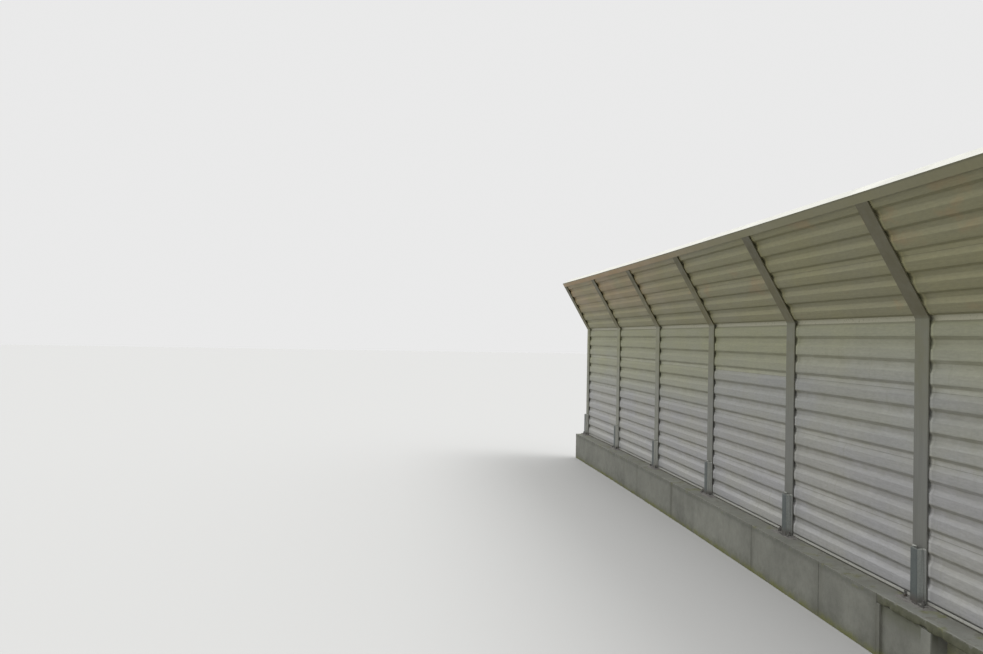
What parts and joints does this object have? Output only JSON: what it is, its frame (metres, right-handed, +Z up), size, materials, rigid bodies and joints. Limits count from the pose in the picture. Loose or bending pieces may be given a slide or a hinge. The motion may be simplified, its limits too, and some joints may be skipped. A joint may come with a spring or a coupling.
{
  "type": "railway noise barrier section",
  "caption": "Run of corrugated steel noise barrier between cranked steel posts, with a head that leans towards the track, on a cast concrete plinth.",
  "frame": {"origin": "underside of the plinth, below the centre of the middle post's section", "axes": "+X along the wall at the middle post, +Y away from the track, +Z up; the head leans to -Y and both ends of the wall curve towards -Y"},
  "size_m": [15.4092, 1.0839, 4.1727],
  "materials": {
    "plinth": "cast concrete, grey, weathered, with moss and damp streaks",
    "coping": "cast concrete, grey, mossy below its edge",
    "post": "grey paint, weathered, with a brown-green film",
    "sheet": "pale grey coated steel sheet, weathered",
    "cap": "grey coated steel, with a brown-green film",
    "trim": "pale grey coated steel strip",
    "shoe": "dull galvanised steel",
    "plate": "dull galvanised steel with rust and mortar stains",
    "cleat": "grey paint, as on the posts"
  },
  "bodies": {
    "root": {"plinth_1": "plinth", "plinth_2": "plinth", "plinth_3": "plinth", "plinth_4": "plinth", "plinth_5": "plinth", "plinth_6": "plinth", "coping": "coping", "base_plates": "plate", "channel_clips": "plate", "foot_channels": "trim", "sheet_cleats": "cleat", "fold_trims": "trim", "post_1": "post", "post_2": "post", "post_3": "post", "post_4": "post", "post_5": "post", "post_6": "post", "post_7": "post", "shoe_1": "shoe", "shoe_2": "shoe", "shoe_3": "shoe", "shoe_4": "shoe", "shoe_5": "shoe", "shoe_6": "shoe", "shoe_7": "shoe", "wall_sheet_1": "sheet", "wall_sheet_2": "sheet", "wall_sheet_3": "sheet", "wall_sheet_4": "sheet", "wall_sheet_5": "sheet", "wall_sheet_6": "sheet", "head_sheet_1": "sheet", "head_sheet_2": "sheet", "head_sheet_3": "sheet", "head_sheet_4": "sheet", "head_sheet_5": "sheet", "head_sheet_6": "sheet", "cap_1": "cap", "cap_2": "cap", "cap_3": "cap", "cap_4": "cap", "cap_5": "cap", "cap_6": "cap"}
  },
  "joints": []
}
